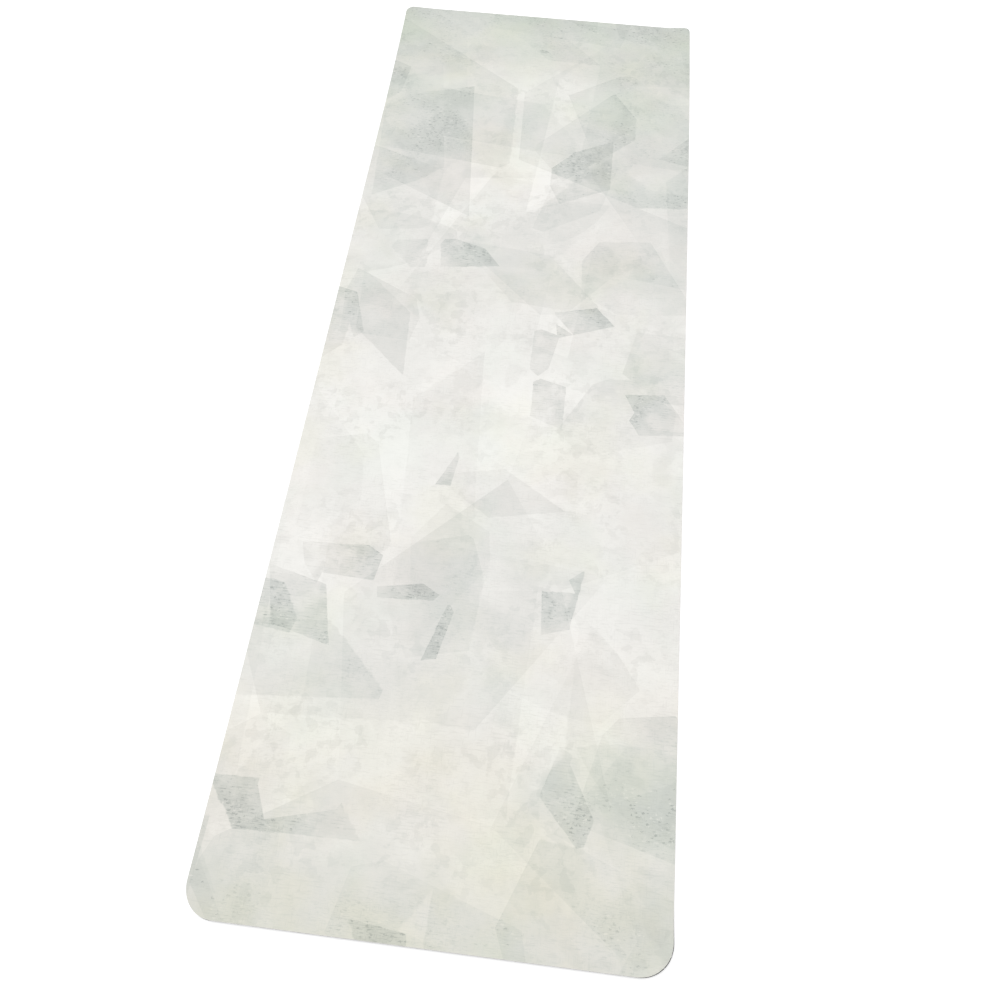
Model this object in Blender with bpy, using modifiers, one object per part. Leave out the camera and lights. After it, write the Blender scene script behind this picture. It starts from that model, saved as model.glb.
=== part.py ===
"""A printed studio yoga mat, laid flat: a microfibre cloth bonded to a moulded natural rubber base.

The mat lies face up with its length along Y, and the origin is the middle of its underside.
Three sheets share one die-cut outline with round corners. The underside of the rubber base carries
the moulded chevron grip: rows of V channels that fold back and forth across the mat.
"""
import math

import bmesh
import bpy

# The die that cuts all three sheets in one stroke
mat_length = 1.78
mat_width = 0.61
corner_radius = 0.043
corner_steps = 10

# The layers, from the floor up, and the clearance that keeps two bonded faces apart
base_thickness = 0.0028
film_thickness = 0.0001
cloth_thickness = 0.0005
bond_clearance = 0.00005

# The chevron grip under the base: straight channel runs that turn at each fold
channel_depth = 0.0008
channel_pitch = 0.02
fold_spacing = 0.055
fold_rise = 0.02

# How far the channel cutter stands out of the base, below it and past its long sides
cutter_overrun = 0.0004
side_overrun = 0.03

merge_distance = 0.000001


def clear_scene():
    for old in list(bpy.data.objects):
        bpy.data.objects.remove(old, do_unlink=True)


def new_collection(name):
    collection = bpy.data.collections.new(name)
    bpy.context.scene.collection.children.link(collection)
    return collection


def new_material(name, colour, roughness):
    material = bpy.data.materials.new(name)
    material.use_nodes = True
    shader = material.node_tree.nodes["Principled BSDF"]
    shader.inputs["Base Color"].default_value = (*colour, 1)
    shader.inputs["Roughness"].default_value = roughness
    shader.inputs["Metallic"].default_value = 0
    material.diffuse_color = (*colour, 1)
    return material


def die_outline():
    """The die's closed outline: a rectangle whose corners are quarter circles."""
    across = mat_width / 2 - corner_radius
    along = mat_length / 2 - corner_radius
    points = []
    for quarter, (x, y) in enumerate(((across, along), (-across, along), (-across, -along), (across, -along))):
        for step in range(corner_steps + 1):
            angle = (quarter + step / corner_steps) * math.pi / 2
            points.append((x + corner_radius * math.cos(angle), y + corner_radius * math.sin(angle)))
    return points


def add_curve(name, collection, dimensions, points, cyclic):
    """A poly curve through the points, which are pairs in its own flat plane."""
    data = bpy.data.curves.new(name, "CURVE")
    data.dimensions = dimensions
    spline = data.splines.new("POLY")
    spline.points.add(len(points) - 1)
    for point, (x, y) in zip(spline.points, points):
        point.co = (x, y, 0, 1)
    spline.use_cyclic_u = cyclic
    curve = bpy.data.objects.new(name, data)
    collection.objects.link(curve)
    return curve


def add_sheet(name, collection, thickness, underside, material):
    """A sheet cut by the die, whose underside lies at the given height."""
    sheet = add_curve(name, collection, "2D", die_outline(), True)
    sheet.data.fill_mode = "BOTH"
    sheet.data.extrude = thickness / 2
    sheet.location.z = underside + thickness / 2
    sheet.data.materials.append(material)
    return sheet


def as_mesh(curve, collection):
    """The curve's solid as a mesh object in its place, with its caps welded to its sides."""
    bpy.context.view_layer.update()
    evaluated = curve.evaluated_get(bpy.context.evaluated_depsgraph_get())
    mesh = bpy.data.meshes.new_from_object(evaluated)
    welded = bmesh.new()
    welded.from_mesh(mesh)
    bmesh.ops.remove_doubles(welded, verts=welded.verts, dist=merge_distance)
    welded.to_mesh(mesh)
    welded.free()
    name = curve.name
    place = curve.matrix_world.copy()
    bpy.data.objects.remove(curve, do_unlink=True)
    solid = bpy.data.objects.new(name, mesh)
    solid.matrix_world = place
    collection.objects.link(solid)
    return solid


def chevron_line():
    """One channel's path across the mat: straight runs that fold at every fold spacing."""
    folds = math.ceil((mat_width / 2 + side_overrun) / fold_spacing)
    return [(fold * fold_spacing, fold_rise * (abs(fold) % 2)) for fold in range(-folds, folds + 1)]


def add_channel_cutter(collection):
    """All the channels as four-sided rods, sunk into the underside until one edge is the channel's floor."""
    rod = add_curve("channel_cutter", collection, "3D", chevron_line(), False)
    rod.data.bevel_depth = channel_depth + cutter_overrun
    rod.data.bevel_resolution = 0
    rod.data.use_fill_caps = True
    cutter = as_mesh(rod, collection)
    rows_each_way = math.ceil((mat_length / 2 + fold_rise) / channel_pitch)
    cutter.location = (0, (0.5 - rows_each_way) * channel_pitch, -cutter_overrun)
    rows = cutter.modifiers.new("rows", "ARRAY")
    rows.count = 2 * rows_each_way
    rows.use_relative_offset = False
    rows.use_constant_offset = True
    rows.constant_offset_displace = (0, channel_pitch, 0)
    cutter.hide_render = True
    cutter.display_type = "WIRE"
    return cutter


def build_rubber_base(mat, cutters):
    """The natural rubber base, with the chevron channels moulded into its underside."""
    rubber = new_material("natural_rubber", (0.09, 0.09, 0.088), 0.8)
    base = as_mesh(add_sheet("rubber_base", mat, base_thickness, 0, rubber), mat)
    moulding = base.modifiers.new("chevron_channels", "BOOLEAN")
    moulding.operation = "DIFFERENCE"
    moulding.solver = "EXACT"
    moulding.object = add_channel_cutter(cutters)


def build_adhesive_film(mat):
    """The film of adhesive that bonds the cloth to the rubber over the whole face."""
    adhesive = new_material("dried_adhesive", (0.75, 0.72, 0.63), 0.45)
    add_sheet("adhesive_film", mat, film_thickness, base_thickness + bond_clearance, adhesive)


def build_top_cloth(mat):
    """The printed microfibre cloth that the practice is done on."""
    microfibre = new_material("printed_microfibre", (0.78, 0.78, 0.74), 0.95)
    underside = base_thickness + film_thickness + 2 * bond_clearance
    add_sheet("top_cloth", mat, cloth_thickness, underside, microfibre)


def main():
    clear_scene()
    mat = new_collection("yoga_mat")
    cutters = new_collection("cutters")
    build_rubber_base(mat, cutters)
    build_adhesive_film(mat)
    build_top_cloth(mat)


main()
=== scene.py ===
"""The looks of a printed studio yoga mat that lies unrolled on a pale floor.

The mat is a laminate of three bonded sheets that one die cuts: a printed microfibre cloth, a film of
dried adhesive and a moulded natural rubber base. Geometry Nodes cut the sheets flat and mould the grip
under the base. One resting shape then lays all three down together, with the mat's own slight curl.
"""

import logging
import math
from collections.abc import Callable
from dataclasses import asdict, dataclass
from enum import Enum
from functools import cache

import bmesh
import bpy
import numpy as np
from bmesh.types import BMesh, BMFace
from bpy.types import ID, Material, Mesh, Node, NodeSocket, NodeTree, Object
from mathutils import Color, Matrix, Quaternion, Vector


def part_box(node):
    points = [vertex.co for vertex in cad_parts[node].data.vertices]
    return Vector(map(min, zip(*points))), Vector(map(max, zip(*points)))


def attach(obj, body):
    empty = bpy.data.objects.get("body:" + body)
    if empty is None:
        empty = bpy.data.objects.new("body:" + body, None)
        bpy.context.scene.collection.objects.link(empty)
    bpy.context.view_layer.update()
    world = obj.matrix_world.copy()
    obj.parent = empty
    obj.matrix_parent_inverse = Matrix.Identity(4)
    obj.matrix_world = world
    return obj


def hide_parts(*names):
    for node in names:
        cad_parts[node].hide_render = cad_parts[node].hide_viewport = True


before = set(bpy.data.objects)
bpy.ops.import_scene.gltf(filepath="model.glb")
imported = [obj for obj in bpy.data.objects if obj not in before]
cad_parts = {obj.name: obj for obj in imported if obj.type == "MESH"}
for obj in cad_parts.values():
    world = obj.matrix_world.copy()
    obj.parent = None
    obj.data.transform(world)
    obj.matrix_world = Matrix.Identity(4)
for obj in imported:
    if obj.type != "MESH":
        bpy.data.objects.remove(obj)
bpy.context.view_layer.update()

log = logging.getLogger("yoga_mat")

# The flat cloth's own map, each point's height in the flat stack, and the body that the sheets ride on
FLAT_CUT = "flat_cut"
STACK_HEIGHT = "stack_height"
MAT_BODY = "root"

# Points that lie closer than this are one point, in metres
MERGE_DISTANCE = 1e-6

# How far apart two neighbouring seeds read the noise, in metres
SEED_STRIDE = (7.31, 3.17, 0.0)

# A face lies level, and not upright, when its normal stands higher than this
LEVEL = 0.5

# The mat's two directions
ACROSS = Vector((1, 0, 0))
ALONG = Vector((0, 1, 0))


def paint(red: int, green: int, blue: int) -> tuple[float, float, float, float]:
    """The renderer's linear colour, opaque, for a colour's display levels from 0 to 255."""
    return (*Color((red / 255, green / 255, blue / 255)).from_srgb_to_scene_linear(), 1.0)


def labelled(values: dict[str, object]) -> dict[str, object]:
    """Values by the names of the sockets that they are for: near_radius goes to Near Radius."""
    return {name.replace("_", " ").title(): value for name, value in values.items()}


def placed(name: str, data: ID) -> Object:
    """Put a new object in the scene.

    Args:
        name: its name.
        data: its mesh, lamp or camera.

    Returns:
        The object, at the origin.
    """
    new = bpy.data.objects.new(name, data)
    bpy.context.scene.collection.objects.link(new)
    return new


def sign(operation: str, swapped: bool = False) -> Callable[["Signal", "Term"], "Signal"]:
    """Make the method that an arithmetic sign stands for.

    Args:
        operation: the operation of the node that works it out.
        swapped: whether the other value comes first.

    Returns:
        The method.
    """

    def work_out(value: "Signal", other: "Term") -> "Signal":
        """The result for a value and another."""
        return value.graph.math(operation, *((other, value) if swapped else (value, other)))

    return work_out


@dataclass(frozen=True)
class Signal:
    """A value that runs through a node tree, and that sums and products can be written with."""

    graph: "Graph"
    socket: NodeSocket

    __add__ = sign("ADD")
    __radd__ = sign("ADD", swapped=True)
    __sub__ = sign("SUBTRACT")
    __rsub__ = sign("SUBTRACT", swapped=True)
    __mul__ = sign("MULTIPLY")
    __rmul__ = sign("MULTIPLY", swapped=True)
    __truediv__ = sign("DIVIDE")
    __rtruediv__ = sign("DIVIDE", swapped=True)

    def __abs__(self) -> "Signal":
        """The value without its sign."""
        return self.graph.math("ABSOLUTE", self)


Term = Signal | float | int | tuple | list | ID


@dataclass(frozen=True)
class Step:
    """One node of a tree, whose outputs are taken by name or number."""

    graph: "Graph"
    node: Node

    def __getitem__(self, name: str | int) -> Signal:
        """The output of that name or number."""
        return Signal(self.graph, self.graph.named(self.node.outputs, name))


class Graph:
    """A node tree that is written as plain expressions of its values."""

    def __init__(self, tree: NodeTree) -> None:
        """Keep the tree that the nodes go into."""
        self.tree = tree

    @staticmethod
    def named(sockets: bpy.types.bpy_prop_collection, name: str | int) -> NodeSocket:
        """Find a socket by its number, or by its name, which several may share if only one is in use.

        Args:
            sockets: a node's inputs or outputs.
            name: the socket's name or number.

        Returns:
            The socket.
        """
        if isinstance(name, int):
            return sockets[name]
        alike = [socket for socket in sockets if socket.name == name]
        return next((socket for socket in alike if socket.enabled), alike[0])

    def feed(self, socket: NodeSocket, term: Term) -> None:
        """Give an input its value.

        Args:
            socket: the input.
            term: a value of this tree, several of them for an input that takes more, or a constant.
        """
        if isinstance(term, Signal):
            self.tree.links.new(term.socket, socket)
        elif isinstance(term, list):
            for one in term:
                self.tree.links.new(one.socket, socket)
        else:
            socket.default_value = term

    def use(self, kind: str, given: dict[str | int, Term], **settings: object) -> Step:
        """Add a node.

        Args:
            kind: the node's type.
            given: the values of its inputs, by name or number.
            settings: the node's own settings.

        Returns:
            The node.
        """
        node = self.tree.nodes.new(kind)
        for name, value in settings.items():
            setattr(node, name, value)
        for name, term in given.items():
            self.feed(self.named(node.inputs, name), term)
        return Step(self, node)

    def shape(self, kind: str, given: dict[str, Term], **settings: object) -> Signal:
        """Add a geometry node, and take its first output."""
        return self.use(f"GeometryNode{kind}", given, **settings)[0]

    def math(self, operation: str, *terms: Term) -> Signal:
        """Work out a number from others."""
        return self.use("ShaderNodeMath", dict(enumerate(terms)), operation=operation)["Value"]

    def vector(self, operation: str, *terms: Term) -> Signal:
        """Work out a vector from others."""
        return self.use("ShaderNodeVectorMath", dict(enumerate(terms)), operation=operation)["Vector"]

    def xyz(self, x: Term = 0.0, y: Term = 0.0, z: Term = 0.0) -> Signal:
        """Join three numbers into a vector."""
        return self.use("ShaderNodeCombineXYZ", {"X": x, "Y": y, "Z": z})["Vector"]

    def axes(self, vector: Signal) -> Step:
        """Take a vector apart, into its X, Y and Z."""
        return self.use("ShaderNodeSeparateXYZ", {"Vector": vector})

    def turned(self, place: Signal) -> Signal:
        """The same place with X and Y exchanged."""
        axes = self.axes(place)
        return self.xyz(axes["Y"], axes["X"], axes["Z"])

    def moved(self, place: Signal, seed: Term) -> Signal:
        """Shift a place far off, so that each seed meets another stretch of the same noise."""
        return self.vector("ADD", place, self.vector("MULTIPLY", self.xyz(seed, seed), SEED_STRIDE))

    def ease(self, value: Term, start: Term, end: Term) -> Signal:
        """Rise smoothly from 0 to 1 as the value goes from the start to the end, which may lie below it."""
        given = {"Value": value, "From Min": start, "From Max": end}
        return self.use("ShaderNodeMapRange", given, interpolation_type="SMOOTHSTEP")["Result"]

    def between(self, share: Term, first: Term, second: Term) -> Signal:
        """Go from the first number to the second as the share goes from 0 to 1."""
        given = {"Value": share, "To Min": first, "To Max": second}
        return self.use("ShaderNodeMapRange", given, interpolation_type="LINEAR", clamp=True)["Result"]

    def colours(self, share: Term, first: Term, second: Term, how: str = "MIX") -> Signal:
        """Lay the second colour over the first, as strongly as the share says."""
        given = {"Factor": share, "A": first, "B": second}
        return self.use("ShaderNodeMix", given, data_type="RGBA", blend_type=how)["Result"]

    def ramp(self, value: Signal, stops: dict[float, tuple]) -> Signal:
        """Read a colour off a scale.

        Args:
            value: the place on the scale, from 0 to 1.
            stops: the colours by their places on it.

        Returns:
            The colour.
        """
        step = self.use("ShaderNodeValToRGB", {"Fac": value})
        scale = step.node.color_ramp.elements
        while len(scale) < len(stops):
            scale.new(1)
        for element, (position, colour) in zip(scale, sorted(stops.items())):
            element.position = position
            element.color = colour
        return step["Color"]

    def noise(self, place: Signal, size: Term, detail: float = 3.0, distortion: float = 0.0) -> Signal:
        """Cloudy noise, about 0.5 on the average. The size is that of its largest clouds, in metres."""
        given = {"Vector": place, "Scale": 1 / size, "Detail": detail, "Distortion": distortion}
        return self.use("ShaderNodeTexNoise", given)["Fac"]

    def streaks(self, place: Signal, length: Term, thickness: Term, detail: float = 1.0) -> Signal:
        """Noise that is drawn out along X, in streaks of that length and thickness."""
        return self.noise(self.vector("DIVIDE", place, self.xyz(length, thickness, thickness)), 1.0, detail)

    def cells(self, place: Signal, size: Term, randomness: float = 1.0) -> tuple[Step, Step]:
        """Divide the plane into irregular cells.

        Args:
            place: the place on the plane.
            size: about how large a cell is.
            randomness: how far the cells are from a square grid, from 0 to 1.

        Returns:
            The cells, and three chances that each cell draws: Red, Green and Blue.
        """
        given = {"Vector": place, "Scale": 1 / size, "Randomness": randomness}
        cells = self.use("ShaderNodeTexVoronoi", given, voronoi_dimensions="2D")
        return cells, self.use("ShaderNodeSeparateColor", {"Color": cells["Color"]})


class Socket(Enum):
    """The kinds of value that go into and out of a group."""

    NUMBER = "NodeSocketFloat"
    COUNT = "NodeSocketInt"
    PLACE = "NodeSocketVector"
    MATERIAL = "NodeSocketMaterial"
    GEOMETRY = "NodeSocketGeometry"


class Group(Graph):
    """A node group, whose inputs are taken by name."""

    def __init__(self, kind: str, title: str, inputs: dict[str, Socket]) -> None:
        """Start the group.

        Args:
            kind: the type of its tree.
            title: its name.
            inputs: the kinds of its inputs, by name.
        """
        super().__init__(bpy.data.node_groups.new(title, kind))
        for name, socket in inputs.items():
            self.tree.interface.new_socket(name=name, in_out="INPUT", socket_type=socket.value)
        self.given = self.use("NodeGroupInput", {})

    def __getitem__(self, name: str) -> Signal:
        """The input of that name."""
        return self.given[name]

    def finished(self, kind: Socket, results: dict[str, Signal]) -> NodeTree:
        """End the group with its outputs.

        Args:
            kind: the kind of all outputs.
            results: the outputs, by name.

        Returns:
            The group's tree.
        """
        for name in results:
            self.tree.interface.new_socket(name=name, in_out="OUTPUT", socket_type=kind.value)
        self.use("NodeGroupOutput", results)
        return self.tree


Recipe = Callable[[Group], dict[str, Signal]]


@dataclass(frozen=True)
class Effect:
    """A surface effect that the finishes share: a place and some numbers go in, and numbers come out."""

    title: str
    numbers: tuple[str, ...]
    recipe: Recipe

    @cache
    def tree(self) -> NodeTree:
        """The effect's node group, built at its first use.

        Returns:
            The shader node group.
        """
        inputs = {"Place": Socket.PLACE} | dict.fromkeys(self.numbers, Socket.NUMBER)
        group = Group("ShaderNodeTree", self.title, inputs)
        return group.finished(Socket.NUMBER, self.recipe(group))

    def __call__(self, graph: Graph, place: Signal, **numbers: Term) -> Step:
        """Place the effect in a graph, with values of its own."""
        return graph.use("ShaderNodeGroup", {"Place": place} | labelled(numbers), node_tree=self.tree())


def effect(*numbers: str) -> Callable[[Recipe], Effect]:
    """Make an effect, which takes these numbers, of the recipe for what it puts out."""
    return lambda recipe: Effect(recipe.__name__, numbers, recipe)


@effect("Size", "Seed")
def soft_cloud(group: Group) -> dict[str, Signal]:
    """Soft clouds of more and less colour, about 0 on the average."""
    place = group.moved(group["Place"], group["Seed"])
    return {"Cloud": group.noise(place, group["Size"], 6.0, 0.7) * 2 - 1}


@effect("Dash", "Thread")
def linen_dashes(group: Group) -> dict[str, Signal]:
    """Short dashes both ways, as a slubby linen leaves them where a print is taken from it.

    Args:
        group: the effect's group.

    Returns:
        Its outputs, by name.
    """
    place, dash, thread = group["Place"], group["Dash"], group["Thread"]
    weft = group.ease(group.streaks(place, dash, thread), 0.55, 0.66)
    warp = group.ease(group.streaks(group.turned(place), dash, thread), 0.59, 0.71)
    patches = group.ease(group.noise(group.moved(place, 5), 0.09, 3.0), 0.40, 0.62)
    slub = group.math("MAXIMUM", weft, warp * 0.85)
    return {"Dashes": slub * group.between(patches, 0.35, 1.0)}


@effect("Spacing", "Size", "Presence")
def loose_specks(group: Group) -> dict[str, Signal]:
    """Small ragged specks, dark ones and pale ones, in loose swarms.

    Args:
        group: the effect's group.

    Returns:
        Its outputs, by name.
    """
    place, spacing = group["Place"], group["Spacing"]
    jitter = group.use("ShaderNodeTexNoise", {"Vector": place, "Scale": 3 / spacing, "Detail": 1.0})["Color"]
    centred = group.vector("SUBTRACT", jitter, (0.5, 0.5, 0.5))
    ragged = group.vector("MULTIPLY", centred, group.xyz(spacing, spacing))
    flattened = group.vector("MULTIPLY", place, (0.7, 1.4, 1.0))
    cells, chance = group.cells(group.vector("ADD", flattened, ragged), spacing)
    radius = group["Size"] * group.between(chance["Red"], 0.2, 0.5)
    speck = group.ease(cells["Distance"] * spacing, radius, radius * 0.4)
    swarm = group.ease(group.noise(place, spacing * 14, 2.0), 0.42, 0.62)
    kept = speck * group.math("LESS_THAN", chance["Green"], group["Presence"] * swarm)
    pale = group.math("GREATER_THAN", chance["Blue"], 0.62)
    return {"Specks": kept * (1 - pale), "Chips": kept * pale}


@effect("Size", "Seed")
def chipped_ink(group: Group) -> dict[str, Signal]:
    """Irregular islands of more ink, with crisp shores, as on a worn wall, in some places only.

    Args:
        group: the effect's group.

    Returns:
        Its outputs, by name.
    """
    place = group.moved(group["Place"], group["Seed"])
    islands = group.ease(group.noise(place, group["Size"], 7.0, 0.3), 0.52, 0.58)
    return {"Islands": islands * group.ease(group.noise(place, group["Size"] * 6, 2.0), 0.42, 0.62)}


@effect("Pitch")
def dry_hatching(group: Group) -> dict[str, Signal]:
    """Broken lines across the cloth, as a dry brush leaves them on the crests of the weft.

    Args:
        group: the effect's group.

    Returns:
        Its outputs, by name.
    """
    wander = group.noise(group["Place"], 0.05, 2.0) * 3.0
    line = group.math("SINE", group.axes(group["Place"])["Y"] / group["Pitch"] * math.tau + wander)
    broken = group.ease(group.streaks(group["Place"], 0.014, 0.006, 4.0), 0.48, 0.62)
    return {"Lines": group.ease(line, 0.1, 0.9) * broken}


@effect("Fibre")
def suede_nap(group: Group) -> dict[str, Signal]:
    """The short fibres of a suede nap, and a painted sheen where patches are brushed one way or the other.

    Args:
        group: the effect's group.

    Returns:
        Its outputs, by name.
    """
    place, fibre = group["Place"], group["Fibre"]
    strands = group.streaks(place, fibre * 4, fibre, 3.0)
    tufts = group.noise(place, fibre * 5, 4.0)
    brushed = group.streaks(group.moved(place, 3), 0.22, 0.07, 3.0)
    # Brushed Sheen is painted sheen: lighter and darker patches where the nap would catch the light more or
    # less.
    return {"Height": strands * 0.6 + tufts * 0.4, "Brushed": group.ease(brushed, 0.35, 0.65)}


@effect("Pore")
def rubber_pores(group: Group) -> dict[str, Signal]:
    """The pitted skin of expanded rubber: fine pores over a faint orange peel, and painted shade in the
    pores.

    Args:
        group: the effect's group.

    Returns:
        Its outputs, by name.
    """
    place, pore = group["Place"], group["Pore"]
    cells = group.use("ShaderNodeTexVoronoi", {"Vector": place, "Scale": 1 / pore})
    pits = group.ease(cells["Distance"], 0.15, 0.45)
    # Painted Pit Shade is painted shade: how far the colour is darkened in the pores.
    return {"Height": pits * 0.5 + group.noise(place, pore * 3, 3.0) * 0.5, "Pits": 1 - pits}


@effect("Size", "Shelter")
def pale_bloom(group: Group) -> dict[str, Signal]:
    """Pale dust that gathers in patches, more of it where the shelter is greater.

    Args:
        group: the effect's group.

    Returns:
        Its outputs, by name.
    """
    patches = group.ease(group.noise(group["Place"], group["Size"], 5.0, 0.4), 0.38, 0.66)
    grains = group.between(group.ease(group.noise(group["Place"], 0.0012, 2.0), 0.40, 0.66), 0.45, 1.0)
    return {"Dust": patches * grains * group.between(group["Shelter"], 0.35, 1.0)}


class Motif(Enum):
    """The plain shapes that the print scatters over the cloth."""

    LOZENGE = "lozenge"
    BAR = "bar"
    LEAF = "leaf"
    FACET = "facet"

    @property
    def scattered(self) -> Effect:
        """The effect that scatters this motif: one in each cell, turned and sized at random."""
        numbers = ("Cell", "Length", "Width", "Presence", "Edge", "Seed")
        return Effect(f"scattered_{self.value}s", numbers, self._scatter)

    def _scatter(self, group: Group) -> dict[str, Signal]:
        """The recipe of the scattering effect. Bars and facets lie nearly square to the cloth.

        Args:
            group: the effect's group.

        Returns:
            Its outputs, by name.
        """
        place = group.moved(group["Place"], group["Seed"])
        cells, chance = group.cells(place, group["Cell"], 0.9)
        turn = chance["Red"] * math.tau
        if self in (Motif.BAR, Motif.FACET):
            askew = (group.math("FRACT", chance["Red"] * 13.7) - 0.5) * 0.3
            turn = group.math("SNAP", turn, math.pi / 2) + askew
        turning = {"Vector": group.vector("SUBTRACT", place, cells["Position"]), "Angle": turn}
        axes = group.axes(group.use("ShaderNodeVectorRotate", turning, rotation_type="Z_AXIS")["Vector"])
        size = group.between(chance["Green"], 0.65, 1.15)
        half_width = group["Width"] * size / 2
        along = axes["X"] / (group["Length"] * size / 2)
        ragged = (group.noise(place, 0.012, 4.0) - 0.5) * 0.004
        outside = (self._reach(group, along, axes["Y"] / half_width) - 1) * half_width * 0.8 + ragged
        present = group.math("LESS_THAN", chance["Blue"], group["Presence"])
        ink = group.between(group.math("FRACT", chance["Red"] * 7.3), 0.5, 1.0)
        mask = group.ease(outside, group["Edge"], 0.0) * present
        return {"Mask": mask, "Fade": group.ease(along, -1.0, 1.3), "Ink": ink}

    def _reach(self, graph: Graph, along: Signal, across: Signal) -> Signal:
        """How far out a point lies in the motif: 0 at its middle and 1 at its edge.

        Args:
            graph: the graph that it is worked out in.
            along: the point's place along the motif, where its ends are at -1 and 1.
            across: the point's place across it, where its sides are at -1 and 1.

        Returns:
            The share. A facet has only ends, and its cell bounds its sides.
        """
        if self is Motif.LOZENGE:
            return abs(along) + abs(across)
        if self is Motif.BAR:
            return graph.math("MAXIMUM", abs(along + across * 0.3), abs(across))
        if self is Motif.LEAF:
            return along * along + abs(across)
        return abs(along)


@dataclass(frozen=True)
class MotifLayer:
    """One pass of the print: one kind of motif in one strength of ink. Sizes are in metres."""

    motif: Motif
    cell: float
    length: float
    width: float
    presence: float
    ink: float
    seed: float
    faded: float = 0.6
    edge: float = 0.0015
    hatched: float = 0.0
    hatch_pitch: float = 0.0043
    cut_by: float = 0.0

    def shade(self, graph: Graph, place: Signal, worn: Signal) -> Signal:
        """The shade that this pass adds to the print.

        Args:
            graph: the print's graph.
            place: the place on the flat cloth.
            worn: the share of the ink that took.

        Returns:
            The added shade, below 0 for a pale ink.
        """
        sizes = {"cell": self.cell, "length": self.length, "width": self.width, "presence": self.presence}
        motifs = self.motif.scattered(graph, place, **sizes, edge=self.edge, seed=self.seed)
        taken = motifs["Mask"] * motifs["Ink"] * graph.between(motifs["Fade"], 1.0, 1 - self.faded) * worn
        if self.cut_by:
            taken = taken * self._cut(graph, place)
        if self.hatched:
            taken = taken * (1 + dry_hatching(graph, place, pitch=self.hatch_pitch)["Lines"] * self.hatched)
        return taken * self.ink

    def _cut(self, graph: Graph, place: Signal) -> Signal:
        """What is left of the motifs where facets cut them up and they are rubbed.

        Args:
            graph: the print's graph.
            place: the place on the flat cloth.

        Returns:
            The share of the ink.
        """
        sizes = {"cell": self.cut_by, "length": self.cut_by * 1.5, "width": self.cut_by, "presence": 0.5}
        facets = Motif.FACET.scattered(graph, place, **sizes, edge=self.edge, seed=self.seed + 20)
        rubbed = graph.ease(graph.noise(graph.moved(place, self.seed), 0.03, 6.0, 0.4), 0.36, 0.60)
        return facets["Mask"] * graph.between(rubbed, 0.65, 1.15)


@dataclass(frozen=True)
class Darkening:
    """A stretch of the mat's length over which the face's colour grows darker. Places are in metres."""

    start: float
    end: float
    shade: float


class Finish(Graph):
    """A material's graph, which ends in its surface shader."""

    def __init__(self, title: str) -> None:
        """Start a material.

        Args:
            title: its name.
        """
        self.material = bpy.data.materials.new(title)
        self.material.use_nodes = True
        super().__init__(self.material.node_tree)

    def relief(self, height: Signal, depth: float) -> Signal:
        """The normal of the surface's finest relief: its height is from 0 to 1 and its depth in metres."""
        return self.use("ShaderNodeBump", {"Height": height, "Distance": depth, "Strength": 1.0})["Normal"]

    def coated(self, looks: dict[str, Term]) -> Material:
        """Set the looks of the surface.

        Args:
            looks: the surface shader's inputs, by name.

        Returns:
            The material.
        """
        for name, look in looks.items():
            self.feed(self.tree.nodes["Principled BSDF"].inputs[name], look)
        return self.material


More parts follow.
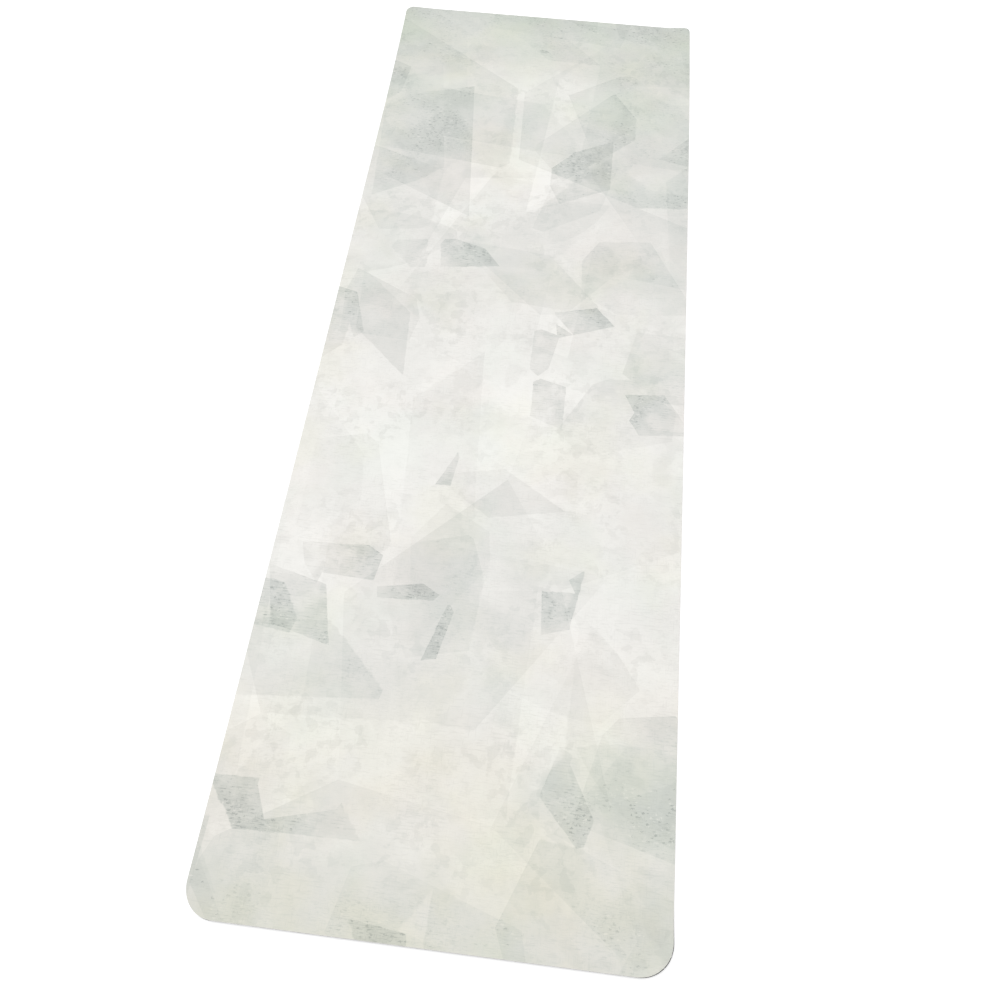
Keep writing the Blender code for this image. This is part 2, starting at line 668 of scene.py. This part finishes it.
@dataclass(frozen=True)
class PrintedMicrofibre:
    """The mat's face: a pale suede nap with a soft print of overlapping translucent shapes."""

    layers: tuple[MotifLayer, ...] = (
        MotifLayer(Motif.FACET, 0.40, 0.55, 0.30, 0.65, 0.18, 1, faded=0.85),
        MotifLayer(Motif.FACET, 0.25, 0.34, 0.20, 0.45, 0.20, 2, faded=0.75),
        MotifLayer(Motif.BAR, 0.34, 0.38, 0.13, 0.60, 0.17, 3, faded=0.7),
        MotifLayer(Motif.LEAF, 0.36, 0.34, 0.13, 0.35, 0.13, 4, faded=0.7),
        MotifLayer(Motif.LOZENGE, 0.27, 0.30, 0.12, 0.50, 0.20, 46, faded=0.7),
        MotifLayer(Motif.FACET, 0.15, 0.19, 0.11, 0.20, 0.22, 8, hatched=0.5),
        MotifLayer(
            Motif.LOZENGE, 0.20, 0.20, 0.12, 0.45, 0.46, 36, faded=0.65, edge=0.001, hatched=0.7, cut_by=0.12
        ),
        MotifLayer(
            Motif.BAR, 0.24, 0.18, 0.07, 0.35, 0.42, 22, faded=0.7, edge=0.001, hatched=0.8, cut_by=0.10
        ),
        MotifLayer(Motif.FACET, 0.30, 0.40, 0.24, 0.35, -0.16, 9, faded=0.8),
        MotifLayer(Motif.BAR, 0.33, 0.36, 0.07, 0.45, -0.15, 10),
    )
    ground_shade: float = 0.175
    darkenings: tuple[Darkening, ...] = (
        Darkening(-0.05, 0.1, 0.01),
        Darkening(0.64, 0.8, 0.27),
        Darkening(0.82, 0.9, 0.13),
        Darkening(-0.48, -0.95, 0.06),
        Darkening(-0.78, -0.87, 0.17),
    )
    cloud_strengths: tuple[tuple[float, float], ...] = ((0.34, 0.12), (0.09, 0.10), (0.022, 0.07))
    far_half_strength: float = 1.2
    middle_paleness: float = 0.06
    right_side_shade: float = 0.04
    fullest_ink: float = 0.85
    overlap_softness: float = 0.5
    grain_average: float = 0.075
    fibre: float = 0.0004
    nap_depth: float = 0.00012

    def material(self) -> Material:
        """Build the material.

        Returns:
            The material.
        """
        finish = Finish("printed_microfibre")
        place = finish.use("ShaderNodeUVMap", {}, uv_map=FLAT_CUT)["UV"]
        nap = suede_nap(finish, place, fibre=self.fibre)
        # Painted sheen of the brushed patches, with the tone of the fibres themselves.
        brushed = (nap["Brushed"] - 0.5) * 0.03 + (nap["Height"] - 0.5) * 0.10
        return finish.coated(
            {
                "Base Color": self._ink(finish, place, self._printed_shade(finish, place) + brushed),
                "Roughness": finish.between(nap["Height"], 0.98, 0.86),
                "Specular IOR Level": 0.25,
                "Sheen Weight": 0.12,
                "Sheen Roughness": 0.55,
                "Normal": finish.relief(nap["Height"], self.nap_depth),
            }
        )

    def _printed_shade(self, graph: Graph, place: Signal) -> Signal:
        """How dark the print is, with its grain.

        Args:
            graph: the material's graph.
            place: the place on the flat cloth.

        Returns:
            The shade, 0 for the palest and 1 for the darkest.
        """
        shade = self._inked_shade(graph, place)
        dark = graph.ease(shade, 0.38, 0.78)
        dashes = linen_dashes(graph, place, dash=0.008, thread=0.0012)["Dashes"]
        coarse = linen_dashes(graph, graph.moved(place, 11), dash=0.02, thread=0.0024)["Dashes"]
        islands = chipped_ink(graph, place, size=0.018, seed=2)["Islands"]
        worn_skin = chipped_ink(graph, place, size=0.055, seed=6)["Islands"]
        grain = dashes * graph.between(dark, 0.09, 0.34) + coarse * 0.08 + islands * 0.10 + worn_skin * 0.07
        specks = loose_specks(graph, place, spacing=0.006, size=0.005, presence=0.75)
        grain = grain + specks["Specks"] * graph.between(dark, 0.05, 0.6)
        grain = grain - specks["Chips"] * graph.between(dark, 0.02, 0.3)
        return shade + grain - self.grain_average

    def _inked_shade(self, graph: Graph, place: Signal) -> Signal:
        """How dark the ground and the motifs on it are.

        Args:
            graph: the material's graph.
            place: the place on the flat cloth.

        Returns:
            The shade, 0 for the palest and 1 for the darkest.
        """
        axes = graph.axes(place)
        shade = graph.ease(axes["X"], 0.0, 0.3) * self.right_side_shade + self.ground_shade
        shade = shade - graph.ease(abs(axes["Y"] + 0.33), 0.45, 0.15) * self.middle_paleness
        for stretch in self.darkenings:
            shade = shade + graph.ease(axes["Y"], stretch.start, stretch.end) * stretch.shade
        for seed, (size, strength) in enumerate(self.cloud_strengths, start=1):
            shade = shade + soft_cloud(graph, place, size=size, seed=seed)["Cloud"] * strength
        worn = graph.between(graph.ease(graph.noise(place, 0.08, 7.0, 0.5), 0.38, 0.58), 0.7, 1.03)
        worn = worn * graph.between(graph.ease(axes["Y"], -0.1, 0.2), 1.0, self.far_half_strength)
        for layer in self.layers:
            shade = shade + layer.shade(graph, place, worn)
        return graph.math("SMOOTH_MIN", shade, self.fullest_ink, self.overlap_softness)

    def _ink(self, graph: Graph, place: Signal, shade: Signal) -> Signal:
        """The print's colour.

        Args:
            graph: the material's graph.
            place: the place on the flat cloth.
            shade: how dark the print is there.

        Returns:
            The colour.
        """
        scale = {
            0.0: paint(248, 247, 243),
            0.27: paint(230, 229, 225),
            0.53: paint(213, 215, 211),
            0.75: paint(200, 203, 199),
            1.0: paint(180, 184, 181),
        }
        length_way = graph.axes(place)["Y"]
        patches = graph.ease(graph.noise(graph.moved(place, 4), 0.13, 5.0), 0.40, 0.62)
        patches = graph.between(patches, 0.35, 1.0)
        tints = [
            (graph.ease(length_way, 0.35, 0.9) * patches, paint(251, 255, 249)),
            (graph.ease(length_way, -0.4, -0.9) * patches, paint(255, 254, 245)),
        ]
        for seed, tint in ((6, paint(255, 252, 251)), (7, paint(250, 254, 252)), (8, paint(255, 255, 248))):
            drift = graph.ease(graph.noise(graph.moved(place, seed), 0.16, 4.0), 0.48, 0.64)
            tints.append((drift * 0.5, tint))
        colour = graph.ramp(shade, scale)
        for share, tint in tints:
            colour = graph.colours(share, colour, tint, "MULTIPLY")
        return colour


@dataclass(frozen=True)
class UndyedFibre:
    """Microfibre that the die cut and that was never printed: white fibre ends, with painted shade between
    them.
    """

    fibre: float = 0.00025

    def material(self) -> Material:
        """Build the material.

        Returns:
            The material.
        """
        finish = Finish("undyed_fibre")
        height = suede_nap(finish, finish.use("ShaderNodeTexCoord", {})["Object"], fibre=self.fibre)["Height"]
        return finish.coated(
            {
                # Painted shade: the dips between the fibre ends are coloured darker than the tips.
                "Base Color": finish.colours(height, paint(214, 213, 206), paint(244, 243, 239)),
                "Roughness": finish.between(height, 0.98, 0.85),
                "Specular IOR Level": 0.25,
                "Sheen Weight": 0.1,
                "Normal": finish.relief(height, self.fibre),
            }
        )


@dataclass(frozen=True)
class DriedAdhesive:
    """The bond between cloth and rubber: a milky satin film, a little uneven."""

    patch: float = 0.012
    unevenness: float = 0.00003

    def material(self) -> Material:
        """Build the material.

        Returns:
            The material.
        """
        finish = Finish("dried_adhesive")
        cloud = finish.noise(finish.use("ShaderNodeTexCoord", {})["Object"], self.patch, 5.0)
        return finish.coated(
            {
                "Base Color": finish.colours(cloud, paint(196, 190, 170), paint(232, 228, 212)),
                "Roughness": finish.between(cloud, 0.35, 0.6),
                "Transmission Weight": 0.25,
                "IOR": 1.47,
                "Normal": finish.relief(cloud, self.unevenness),
            }
        )


@dataclass(frozen=True)
class NaturalRubber:
    """The base: charcoal expanded rubber with a pored skin, rubbed on its lands and dusty in its channels."""

    pore: float = 0.0007
    pore_depth: float = 0.00014
    channel_depth: float = 0.0008

    def material(self) -> Material:
        """Build the material.

        Returns:
            The material.
        """
        finish = Finish("natural_rubber")
        place = finish.use("ShaderNodeTexCoord", {})["Object"]
        height = finish.use("ShaderNodeAttribute", {}, attribute_name=STACK_HEIGHT)["Fac"]
        sheltered = finish.ease(height, 0.0, self.channel_depth)
        moulded = finish.ease(height, self.channel_depth * 1.6, self.channel_depth * 1.05)
        pores = rubber_pores(finish, place, pore=self.pore)
        mottle = soft_cloud(finish, place, size=0.06, seed=1)["Cloud"] * 0.5 + 0.5
        dust = pale_bloom(finish, place, size=0.05, shelter=sheltered)["Dust"] * moulded
        flecks = loose_specks(finish, place, spacing=0.004, size=0.0012, presence=0.35)["Specks"]
        rubbed = (1 - sheltered) * finish.ease(finish.noise(place, 0.08, 5.0), 0.45, 0.65)
        colour = finish.ramp(mottle, {0.2: paint(42, 42, 42), 0.5: paint(53, 53, 52), 0.8: paint(66, 66, 64)})
        # Painted shade: the pores are coloured darker, as if in their own shadow.
        colour = finish.colours(pores["Pits"] * 0.35, colour, paint(32, 32, 32))
        colour = finish.colours(flecks * 0.5, colour, paint(118, 117, 112))
        return finish.coated(
            {
                "Base Color": finish.colours(dust * 0.28, colour, paint(150, 147, 139)),
                "Roughness": finish.between(rubbed, 0.82, 0.55) + dust * 0.1,
                "Specular IOR Level": 0.3,
                "Normal": finish.relief(pores["Height"], self.pore_depth),
            }
        )


def grown(tree: NodeTree, start: Mesh, values: dict[str, object]) -> Mesh:
    """Run a geometry node tree on a mesh.

    Args:
        tree: the tree.
        start: the mesh that goes in.
        values: the tree's inputs, by their names in small letters. Others among them are passed over.

    Returns:
        The result, as a plain mesh.
    """
    holder = placed(tree.name, start)
    modifier = holder.modifiers.new(tree.name, "NODES")
    modifier.node_group = tree
    values = labelled(values)
    for item in tree.interface.items_tree:
        if item.in_out == "INPUT" and item.name in values:
            modifier[item.identifier] = values[item.name]
    evaluated = holder.evaluated_get(bpy.context.evaluated_depsgraph_get())
    mesh = bpy.data.meshes.new_from_object(evaluated)
    bpy.data.objects.remove(holder)
    for number in reversed(range(len(mesh.materials))):
        if mesh.materials[number] is None:
            mesh.materials.pop(index=number)
    return mesh


@dataclass(frozen=True)
class Die:
    """The steel rule die that cuts all three sheets: a rectangle with round corners, in metres."""

    width: float
    length: float
    near_radius: float = 0.043
    far_left_radius: float = 0.018
    far_right_radius: float = 0.012
    corner_steps: int = 16

    @property
    def half(self) -> tuple[float, float]:
        """Half the width, and half the length."""
        return self.width / 2, self.length / 2

    @property
    def area(self) -> float:
        """The area that the die cuts out."""
        corners = 2 * self.near_radius**2 + self.far_left_radius**2 + self.far_right_radius**2
        return self.width * self.length - (1 - math.pi / 4) * corners

    def radius(self, side: int, end: int) -> float:
        """A corner's radius. The side is 1 for right or -1 for left, the end 1 for far or -1 for near."""
        far_radius = self.far_right_radius if side > 0 else self.far_left_radius
        return self.near_radius if end < 0 else far_radius

    @cache
    def tree(self) -> NodeTree:
        """The tree that cuts a flat sheet: an outline with round corners, filled and thickened.

        Returns:
            The geometry node tree.
        """
        radii = ("Near Radius", "Far Left Radius", "Far Right Radius")
        sizes = ("Width", "Length", "Thickness", "Underside", *radii)
        group = Group(
            "GeometryNodeTree",
            "die_cut_sheet",
            {"Blank": Socket.GEOMETRY, "Corner Steps": Socket.COUNT}
            | dict.fromkeys(sizes, Socket.NUMBER)
            | dict.fromkeys(("Face", "Cut"), Socket.MATERIAL),
        )
        sides = {"Width": group["Width"], "Height": group["Length"]}
        square = group.shape("CurvePrimitiveQuadrilateral", sides)
        axes = group.axes(group.shape("InputPosition", {}))
        right, far = (group.math("GREATER_THAN", axes[axis], 0) for axis in "XY")
        far_radius = group.between(right, group["Far Left Radius"], group["Far Right Radius"])
        radius = group.between(far, group["Near Radius"], far_radius)
        rounding = {"Curve": square, "Count": group["Corner Steps"], "Radius": radius}
        rounded = group.shape("FilletCurve", rounding, mode="POLY")
        outline = group.shape("FillCurve", {"Curve": rounded}, mode="NGONS")
        under = group.shape("SetPosition", {"Geometry": outline, "Offset": group.xyz(z=group["Underside"])})
        thickening = {"Mesh": under, "Offset Scale": group["Thickness"], "Individual": False}
        thick = group.use("GeometryNodeExtrudeMesh", thickening)
        back = group.shape("FlipFaces", {"Mesh": under})
        loose = group.shape("JoinGeometry", {"Geometry": [thick["Mesh"], back]})
        closed = group.shape("MergeByDistance", {"Geometry": loose, "Distance": MERGE_DISTANCE})
        real = group.shape("RealizeInstances", {"Geometry": closed})
        cut = group.shape("SetMaterial", {"Geometry": real, "Material": group["Cut"]})
        facing = {"Geometry": cut, "Selection": thick["Top"], "Material": group["Face"]}
        return group.finished(Socket.GEOMETRY, {"Sheet": group.shape("SetMaterial", facing)})


@dataclass(frozen=True)
class Rod:
    """The rod of a mould, which presses one kind of channel. Its middle lies below the sheet by its sink."""

    depth: float
    sink: float
    sides: int


@dataclass(frozen=True)
class GripMould:
    """The mould of the base's grip: chevron channels, each with finer grooves after it. In metres."""

    fold_spacing: float = 0.055
    fold_rise: float = 0.02
    pitch: float = 0.02
    channel: Rod = Rod(depth=0.0008, sink=0.0004, sides=12)
    groove: Rod = Rod(depth=0.00035, sink=0.0002, sides=8)
    grooves: int = 2
    overrun: float = 0.03

    @cache
    def tree(self) -> NodeTree:
        """The tree that presses one set of chevron rods into a sheet.

        Returns:
            The geometry node tree.
        """
        sizes = ("Fold Spacing", "Fold Rise", "Pitch", "Radius", "Sink", "First Row")
        group = Group(
            "GeometryNodeTree",
            "chevron_channels",
            {"Sheet": Socket.GEOMETRY, "Rubber": Socket.MATERIAL}
            | dict.fromkeys(sizes, Socket.NUMBER)
            | dict.fromkeys(("Folds Each Way", "Rows", "Sides"), Socket.COUNT),
        )
        folds_each_way, spacing = group["Folds Each Way"], group["Fold Spacing"]
        run = {"Start Location": group.xyz(folds_each_way * spacing * -1), "Offset": group.xyz(spacing)}
        folds = group.shape("MeshLine", {"Count": folds_each_way * 2 + 1} | run)
        odd = group.math("MODULO", abs(group.shape("InputIndex", {}) - folds_each_way), 2)
        rise = group.xyz(y=odd * group["Fold Rise"], z=group["Sink"] * -1)
        folded = group.shape("SetPosition", {"Geometry": folds, "Offset": rise})
        line = group.shape("MeshToCurve", {"Mesh": folded})
        circle = {"Resolution": group["Sides"], "Radius": group["Radius"]}
        section = group.shape("CurvePrimitiveCircle", circle)
        rod = group.shape("CurveToMesh", {"Curve": line, "Profile Curve": section, "Fill Caps": True})
        run = {"Start Location": group.xyz(y=group["First Row"]), "Offset": group.xyz(y=group["Pitch"])}
        rows = group.shape("MeshLine", {"Count": group["Rows"]} | run)
        rods = group.shape("InstanceOnPoints", {"Points": rows, "Instance": rod})
        mould = group.shape("RealizeInstances", {"Geometry": rods})
        both = {"Mesh 1": group["Sheet"], "Mesh 2": mould}
        pressed = group.shape("MeshBoolean", both, operation="DIFFERENCE", solver="MANIFOLD")
        real = group.shape("RealizeInstances", {"Geometry": pressed})
        rubber = group.shape("SetMaterial", {"Geometry": real, "Material": group["Rubber"]})
        return group.finished(Socket.GEOMETRY, {"Sheet": rubber})

    def press(self, sheet: Mesh, die: Die, rubber: Material) -> Mesh:
        """Press the channels and the grooves into a sheet.

        Args:
            sheet: the sheet, with its underside at zero height.
            die: the die that cut it.
            rubber: the material that it is made of.

        Returns:
            The sheet with its grip.
        """
        half_width, half_length = die.half
        rows = math.ceil((half_length + self.fold_rise) / self.pitch)
        folds = math.ceil((half_width + self.overrun) / self.fold_spacing)
        shared = asdict(self) | {"rows": 2 * rows, "folds_each_way": folds, "rubber": rubber}
        first = (0.5 - rows) * self.pitch
        for number in range(self.grooves + 1):
            rod = self.groove if number else self.channel
            row = first + number * self.pitch / (self.grooves + 1)
            pressing = asdict(rod) | {"radius": rod.depth + rod.sink, "first_row": row}
            sheet = grown(self.tree(), sheet, shared | pressing)
        return sheet


@dataclass(frozen=True)
class CornerCurl:
    """How one corner stands up off the floor. Sizes are in metres.

    The curl rises in the direction of its turn, which goes from the side, at 0, to the end, at a right angle.
    """

    side: int
    end: int
    rise: float
    reach: float
    turn: float = math.radians(45)


@dataclass(frozen=True)
class RestingShape:
    """How the unrolled mat lies: its ends and corners stand up a little, and it bows sideways."""

    die: Die
    far_rise: float = 0.003
    far_reach: float = 0.35
    near_rise: float = 0.0042
    near_reach: float = 0.045
    corners: tuple[CornerCurl, ...] = (
        CornerCurl(1, 1, 0.004, 0.045),
        CornerCurl(-1, 1, 0.0015, 0.045),
        CornerCurl(1, -1, 0.0078, 0.03, math.radians(22)),
    )
    far_shift: float = -0.00281
    near_spread: float = 0.0015
    shift_reach: float = 0.35
    bow: float = 0.00169
    gradient_step: float = 0.0001

    @staticmethod
    def _rising(distance: np.ndarray, reach: float) -> np.ndarray:
        """The share of a rise that is left at a distance from its highest point: it falls as a parabola."""
        return np.clip(1 - np.clip(distance, 0, None) / reach, 0, None) ** 2

    def lift(self, x: np.ndarray, y: np.ndarray) -> np.ndarray:
        """How high the mat's underside lies over the floor.

        Args:
            x, y: places on the flat mat.

        Returns:
            The heights.
        """
        half_width, half_length = self.die.half
        height = self.far_rise * self._rising(half_length - y, self.far_reach)
        height = height + self.near_rise * self._rising(half_length + y, self.near_reach)
        for corner in self.corners:
            radius = self.die.radius(corner.side, corner.end)
            from_side = (half_width - radius - corner.side * x) * math.cos(corner.turn)
            from_end = (half_length - radius - corner.end * y) * math.sin(corner.turn)
            height = height + corner.rise * self._rising(from_side + from_end + radius, corner.reach)
        return height

    def settle(self, flat: np.ndarray) -> np.ndarray:
        """Take points from the flat mat to where they lie at rest.

        Args:
            flat: the points, one in each row, with their heights in the stack.

        Returns:
            The points at rest.
        """
        x, y, stack = flat.T
        step = self.gradient_step
        slope_x = (self.lift(x + step, y) - self.lift(x - step, y)) / (2 * step)
        slope_y = (self.lift(x, y + step) - self.lift(x, y - step)) / (2 * step)
        upright = np.stack([-slope_x, -slope_y, np.ones_like(x)], axis=1)
        upright /= np.linalg.norm(upright, axis=1, keepdims=True)
        half_width, half_length = self.die.half
        sideways = self.far_shift * self._rising(half_length - y, self.shift_reach)
        spread = self.near_spread * self._rising(half_length + y, self.shift_reach)
        sideways = sideways + spread * x / half_width
        sideways = sideways + self.bow * (1 - (y / half_length) ** 2)
        lying = np.stack([x + sideways, y, self.lift(x, y)], axis=1)
        return lying + upright * stack[:, None]


@dataclass(frozen=True)
class ScoreLines:
    """The lines that a flat sheet is divided along, the same on all three sheets, so that it can bend."""

    die: Die
    wide_step: float = 0.06
    end_step: float = 0.025
    end_zone: float = 0.4
    fine_step: float = 0.004
    corner_zone: float = 0.10
    decimals: int = 7

    def divide(self, sheet: BMesh) -> None:
        """Divide a sheet: coarsely all over, more closely at the ends and finely at the corners.

        Args:
            sheet: the sheet.
        """
        half_width, half_length = self.die.half
        middle, limit = half_length - self.end_zone, half_length - self.corner_zone
        columns = self._steps(half_width, 0, self.wide_step)
        rows = self._steps(middle, 0, self.wide_step) + self._steps(limit, middle, self.end_step)
        for across, places in ((ACROSS, columns), (ALONG, rows)):
            self._score(sheet, [*sheet.verts, *sheet.edges, *sheet.faces], across, places)
        columns = self._steps(half_width, half_width - self.corner_zone, self.fine_step)
        for end in (-1, 1):
            faces = [face for face in sheet.faces if end * face.calc_center_median().y > limit]
            zone = self._score(sheet, self._with_edges(faces), ACROSS, columns)
            rows = [y for y in self._steps(half_length, limit, self.fine_step) if y * end > limit]
            self._score(sheet, zone, ALONG, rows)

    def _steps(self, outer: float, inner: float, step: float) -> list[float]:
        """Evenly spaced places on both sides of the middle.

        Args:
            outer: the furthest place from the middle, which is left out.
            inner: the nearest place to the middle.
            step: about how far apart the places are.

        Returns:
            The places, in order.
        """
        count = max(1, round((outer - inner) / step))
        places = [inner + (outer - inner) * number / count for number in range(count)]
        return sorted({round(side * place, self.decimals) for side in (-1, 1) for place in places})

    @staticmethod
    def _with_edges(faces: list[BMFace]) -> list:
        """The faces with their own points and edges."""
        bounds = (bound for face in faces for bound in (*face.verts, *face.edges))
        return [*dict.fromkeys(bounds), *faces]

    @staticmethod
    def _score(sheet: BMesh, zone: list, across: Vector, places: list[float]) -> list:
        """Divide part of a sheet along parallel lines.

        Args:
            sheet: the sheet.
            zone: the points, edges and faces to divide.
            across: the direction across the lines.
            places: where the lines lie in that direction.

        Returns:
            The zone with what the lines added.
        """
        for place in places:
            plane = {"plane_co": across * place, "plane_no": across}
            zone = bmesh.ops.bisect_plane(sheet, geom=zone, dist=MERGE_DISTANCE, **plane)["geom"]
        return zone


@dataclass
class Sheet:
    """One die-cut sheet of the laminate. Heights are in metres, over the flat mat's underside."""

    name: str
    slot: str
    node: str
    die: Die
    lies_on: tuple[str, ...] = ()
    rim_radius: float = 0.0
    rim_margin: float = 0.0012
    rim_steps: int = 3
    smooth_within: float = math.radians(32)

    def build(self, shape: RestingShape, scores: ScoreLines) -> Object:
        """Cut the sheet, finish it and lay it down.

        Args:
            shape: the mat's resting shape.
            scores: the lines that it is divided along.

        Returns:
            The finished piece.
        """
        low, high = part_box(self.node)
        face, cut = self.finishes()
        layer = {"thickness": high.z - low.z, "underside": low.z, "face": face, "cut": cut}
        mesh = grown(self.die.tree(), bpy.data.meshes.new("blank"), asdict(self.die) | layer)
        if self.rim_radius:
            self._round_rim(mesh, high.z)
        return self._laid(self.finish_flat(mesh), shape, scores)

    def finishes(self) -> tuple[Material, Material]:
        """The materials of the sheet's face and of what the die cut."""
        raise NotImplementedError

    def finish_flat(self, mesh: Mesh) -> Mesh:
        """What else is done to the sheet while it is flat: nothing, as a rule."""
        return mesh

    def dress(self, piece: Object) -> None:
        """Attach the piece to the mat's body, and hide the CAD part that it replaces.

        Args:
            piece: the finished piece.
        """
        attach(piece, MAT_BODY)
        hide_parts(self.node)

    def _round_rim(self, mesh: Mesh, top: float) -> None:
        """Round the sheet's upper rim a little, as the die's pressure leaves it.

        Args:
            mesh: the flat sheet.
            top: the height of its upper face.
        """
        sheet = bmesh.new()
        sheet.from_mesh(mesh)
        upper = [face for face in sheet.faces if face.normal.z > LEVEL]
        bmesh.ops.inset_region(sheet, faces=upper, thickness=self.rim_margin, use_even_offset=True)
        sheet.normal_update()
        rim = [
            edge
            for edge in sheet.edges
            if all(abs(point.co.z - top) < MERGE_DISTANCE for point in edge.verts)
            and any(abs(face.normal.z) < LEVEL for face in edge.link_faces)
        ]
        rounding = {"offset": self.rim_radius, "segments": self.rim_steps, "profile": 0.5}
        bmesh.ops.bevel(sheet, geom=rim, affect="EDGES", clamp_overlap=True, **rounding)
        sheet.to_mesh(mesh)
        sheet.free()

    def _laid(self, mesh: Mesh, shape: RestingShape, scores: ScoreLines) -> Object:
        """Divide the flat sheet, note each point's place on it, and lay it down.

        Args:
            mesh: the flat sheet.
            shape: the mat's resting shape.
            scores: the lines that it is divided along.

        Returns:
            The piece at rest.
        """
        sheet = bmesh.new()
        sheet.from_mesh(mesh)
        scores.divide(sheet)
        flat_cut = sheet.loops.layers.uv.new(FLAT_CUT)
        stack_height = sheet.verts.layers.float.new(STACK_HEIGHT)
        for point in sheet.verts:
            point[stack_height] = point.co.z
        for face in sheet.faces:
            for loop in face.loops:
                loop[flat_cut].uv = loop.vert.co.xy
        sheet.to_mesh(mesh)
        sheet.free()
        flat = np.empty(3 * len(mesh.vertices))
        mesh.vertices.foreach_get("co", flat)
        mesh.vertices.foreach_set("co", shape.settle(flat.reshape(-1, 3)).ravel())
        mesh.name = self.name
        mesh.shade_smooth()
        mesh.set_sharp_from_angle(angle=self.smooth_within)
        return placed(self.name, mesh)


@dataclass
class PrintedCloth(Sheet):
    """The printed microfibre cloth that the practice is done on."""

    def finishes(self) -> tuple[Material, Material]:
        """The printed nap above, and undyed fibre where it was cut."""
        return PrintedMicrofibre().material(), UndyedFibre().material()


@dataclass
class BondFilm(Sheet):
    """The film of dried adhesive that bonds the cloth to the rubber."""

    def finishes(self) -> tuple[Material, Material]:
        """The adhesive, all round."""
        return (DriedAdhesive().material(),) * 2


@dataclass
class GripBase(Sheet):
    """The natural rubber base with its moulded grip."""

    mould: GripMould = GripMould()

    def finishes(self) -> tuple[Material, Material]:
        """The rubber, all round."""
        return (NaturalRubber(channel_depth=self.mould.channel.depth).material(),) * 2

    def finish_flat(self, mesh: Mesh) -> Mesh:
        """Press the grip into the underside."""
        return self.mould.press(mesh, self.die, mesh.materials[0])


@dataclass
class YogaMat:
    """The whole mat: three sheets, cut by one die and laid down in one shape."""

    die: Die

    def build(self) -> None:
        """Build, dress and report the sheets, from the floor up."""
        shape = RestingShape(self.die)
        scores = ScoreLines(self.die)
        base = GripBase("grip_base", "natural_rubber", "rubber_base", self.die, rim_radius=0.0001)
        film = BondFilm("bond_film", "dried_adhesive", "adhesive_film", self.die, (base.name,))
        cloth = PrintedCloth(
            "printed_cloth", "printed_microfibre", "top_cloth", self.die, (film.name,), rim_radius=0.0002
        )
        for sheet in (base, film, cloth):
            piece = sheet.build(shape, scores)
            sheet.dress(piece)
            log.info("%s: %d faces, %s m", piece.name, len(piece.data.polygons), tuple(piece.dimensions))


@dataclass(frozen=True)
class View:
    """The place that the mat is seen from. Lengths are in metres, the lens in millimetres."""

    eye: tuple[float, float, float] = (0.07242, -0.85152, 1.18864)
    aim: tuple[float, float, float] = (0.01174, -0.25611, 0.0)
    roll: float = math.radians(0.9902)
    lens: float = 31.2404
    sensor: float = 36.0

    def set_up(self) -> None:
        """Make the camera and look through it."""
        data = bpy.data.cameras.new("camera")
        data.lens = self.lens
        data.sensor_width = self.sensor
        camera = placed("camera", data)
        looking = (Vector(self.aim) - Vector(self.eye)).to_track_quat("-Z", "Y")
        camera.rotation_mode = "QUATERNION"
        camera.rotation_quaternion = looking @ Quaternion((0, 0, 1), self.roll)
        camera.location = self.eye
        bpy.context.scene.camera = camera


@dataclass(frozen=True)
class Studio:
    """A pale floor under a large soft lamp and an even white surround."""

    floor_size: float = 14.0
    floor_drop: float = 0.00002
    floor_white: float = 0.9
    floor_glow: float = 0.36
    surround: float = 0.60
    lamp_strength: float = 1.3
    lamp_spread: float = math.radians(35)
    lamp_from: tuple[float, float, float] = (-0.22, 0.2, 1.0)

    def set_up(self) -> None:
        """Lay the floor, hang the lamp and light the surround."""
        bpy.context.scene.view_settings.view_transform = "Standard"
        self._lay_floor()
        self._hang_lamp()
        self._light_surround()

    @staticmethod
    def _seen_directly(graph: Graph) -> Signal:
        """Whether a ray comes from the camera, or from it by a mirror or through glass.

        Args:
            graph: the graph that asks.

        Returns:
            1 if it does, and 0 if it doesn't.
        """
        rays = graph.use("ShaderNodeLightPath", {})
        mirrored = graph.math("MAXIMUM", rays["Is Glossy Ray"], rays["Is Transmission Ray"])
        return graph.math("MAXIMUM", rays["Is Camera Ray"], mirrored)

    def _lay_floor(self) -> None:
        """Lay a wide white floor just under the mat, which glows a little where it is seen directly."""
        sheet = bmesh.new()
        bmesh.ops.create_grid(sheet, x_segments=1, y_segments=1, size=self.floor_size / 2)
        mesh = bpy.data.meshes.new("floor")
        sheet.to_mesh(mesh)
        sheet.free()
        for point in mesh.vertices:
            point.co.z = -self.floor_drop
        finish = Finish("floor_paint")
        looks = {
            "Base Color": (*(self.floor_white,) * 3, 1),
            "Roughness": 0.9,
            "Emission Color": (1, 1, 1, 1),
            "Emission Strength": self._seen_directly(finish) * self.floor_glow,
        }
        mesh.materials.append(finish.coated(looks))
        placed("floor", mesh)

    def _hang_lamp(self) -> None:
        """Hang the soft key lamp, which shines evenly from one direction."""
        data = bpy.data.lights.new("key_lamp", "SUN")
        data.energy = self.lamp_strength
        data.angle = self.lamp_spread
        lamp = placed("key_lamp", data)
        lamp.rotation_mode = "QUATERNION"
        lamp.rotation_quaternion = (-Vector(self.lamp_from)).to_track_quat("-Z", "Y")

    def _light_surround(self) -> None:
        """Light the surround evenly, and show it pure white where it is seen."""
        world = bpy.data.worlds.new("surround")
        world.use_nodes = True
        bpy.context.scene.world = world
        graph = Graph(world.node_tree)
        background = world.node_tree.nodes["Background"]
        background.inputs["Color"].default_value = (1, 1, 1, 1)
        strength = graph.between(self._seen_directly(graph), self.surround, 1.0)
        graph.feed(background.inputs["Strength"], strength)


def main() -> None:
    """Build the mat, set up the studio and the view, and note the sizes."""
    logging.basicConfig(level=logging.INFO, format="%(name)s %(message)s")
    View().set_up()
    low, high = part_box("top_cloth")
    YogaMat(Die(width=high.x - low.x, length=high.y - low.y)).build()
    Studio().set_up()


if __name__ == "__main__":
    main()
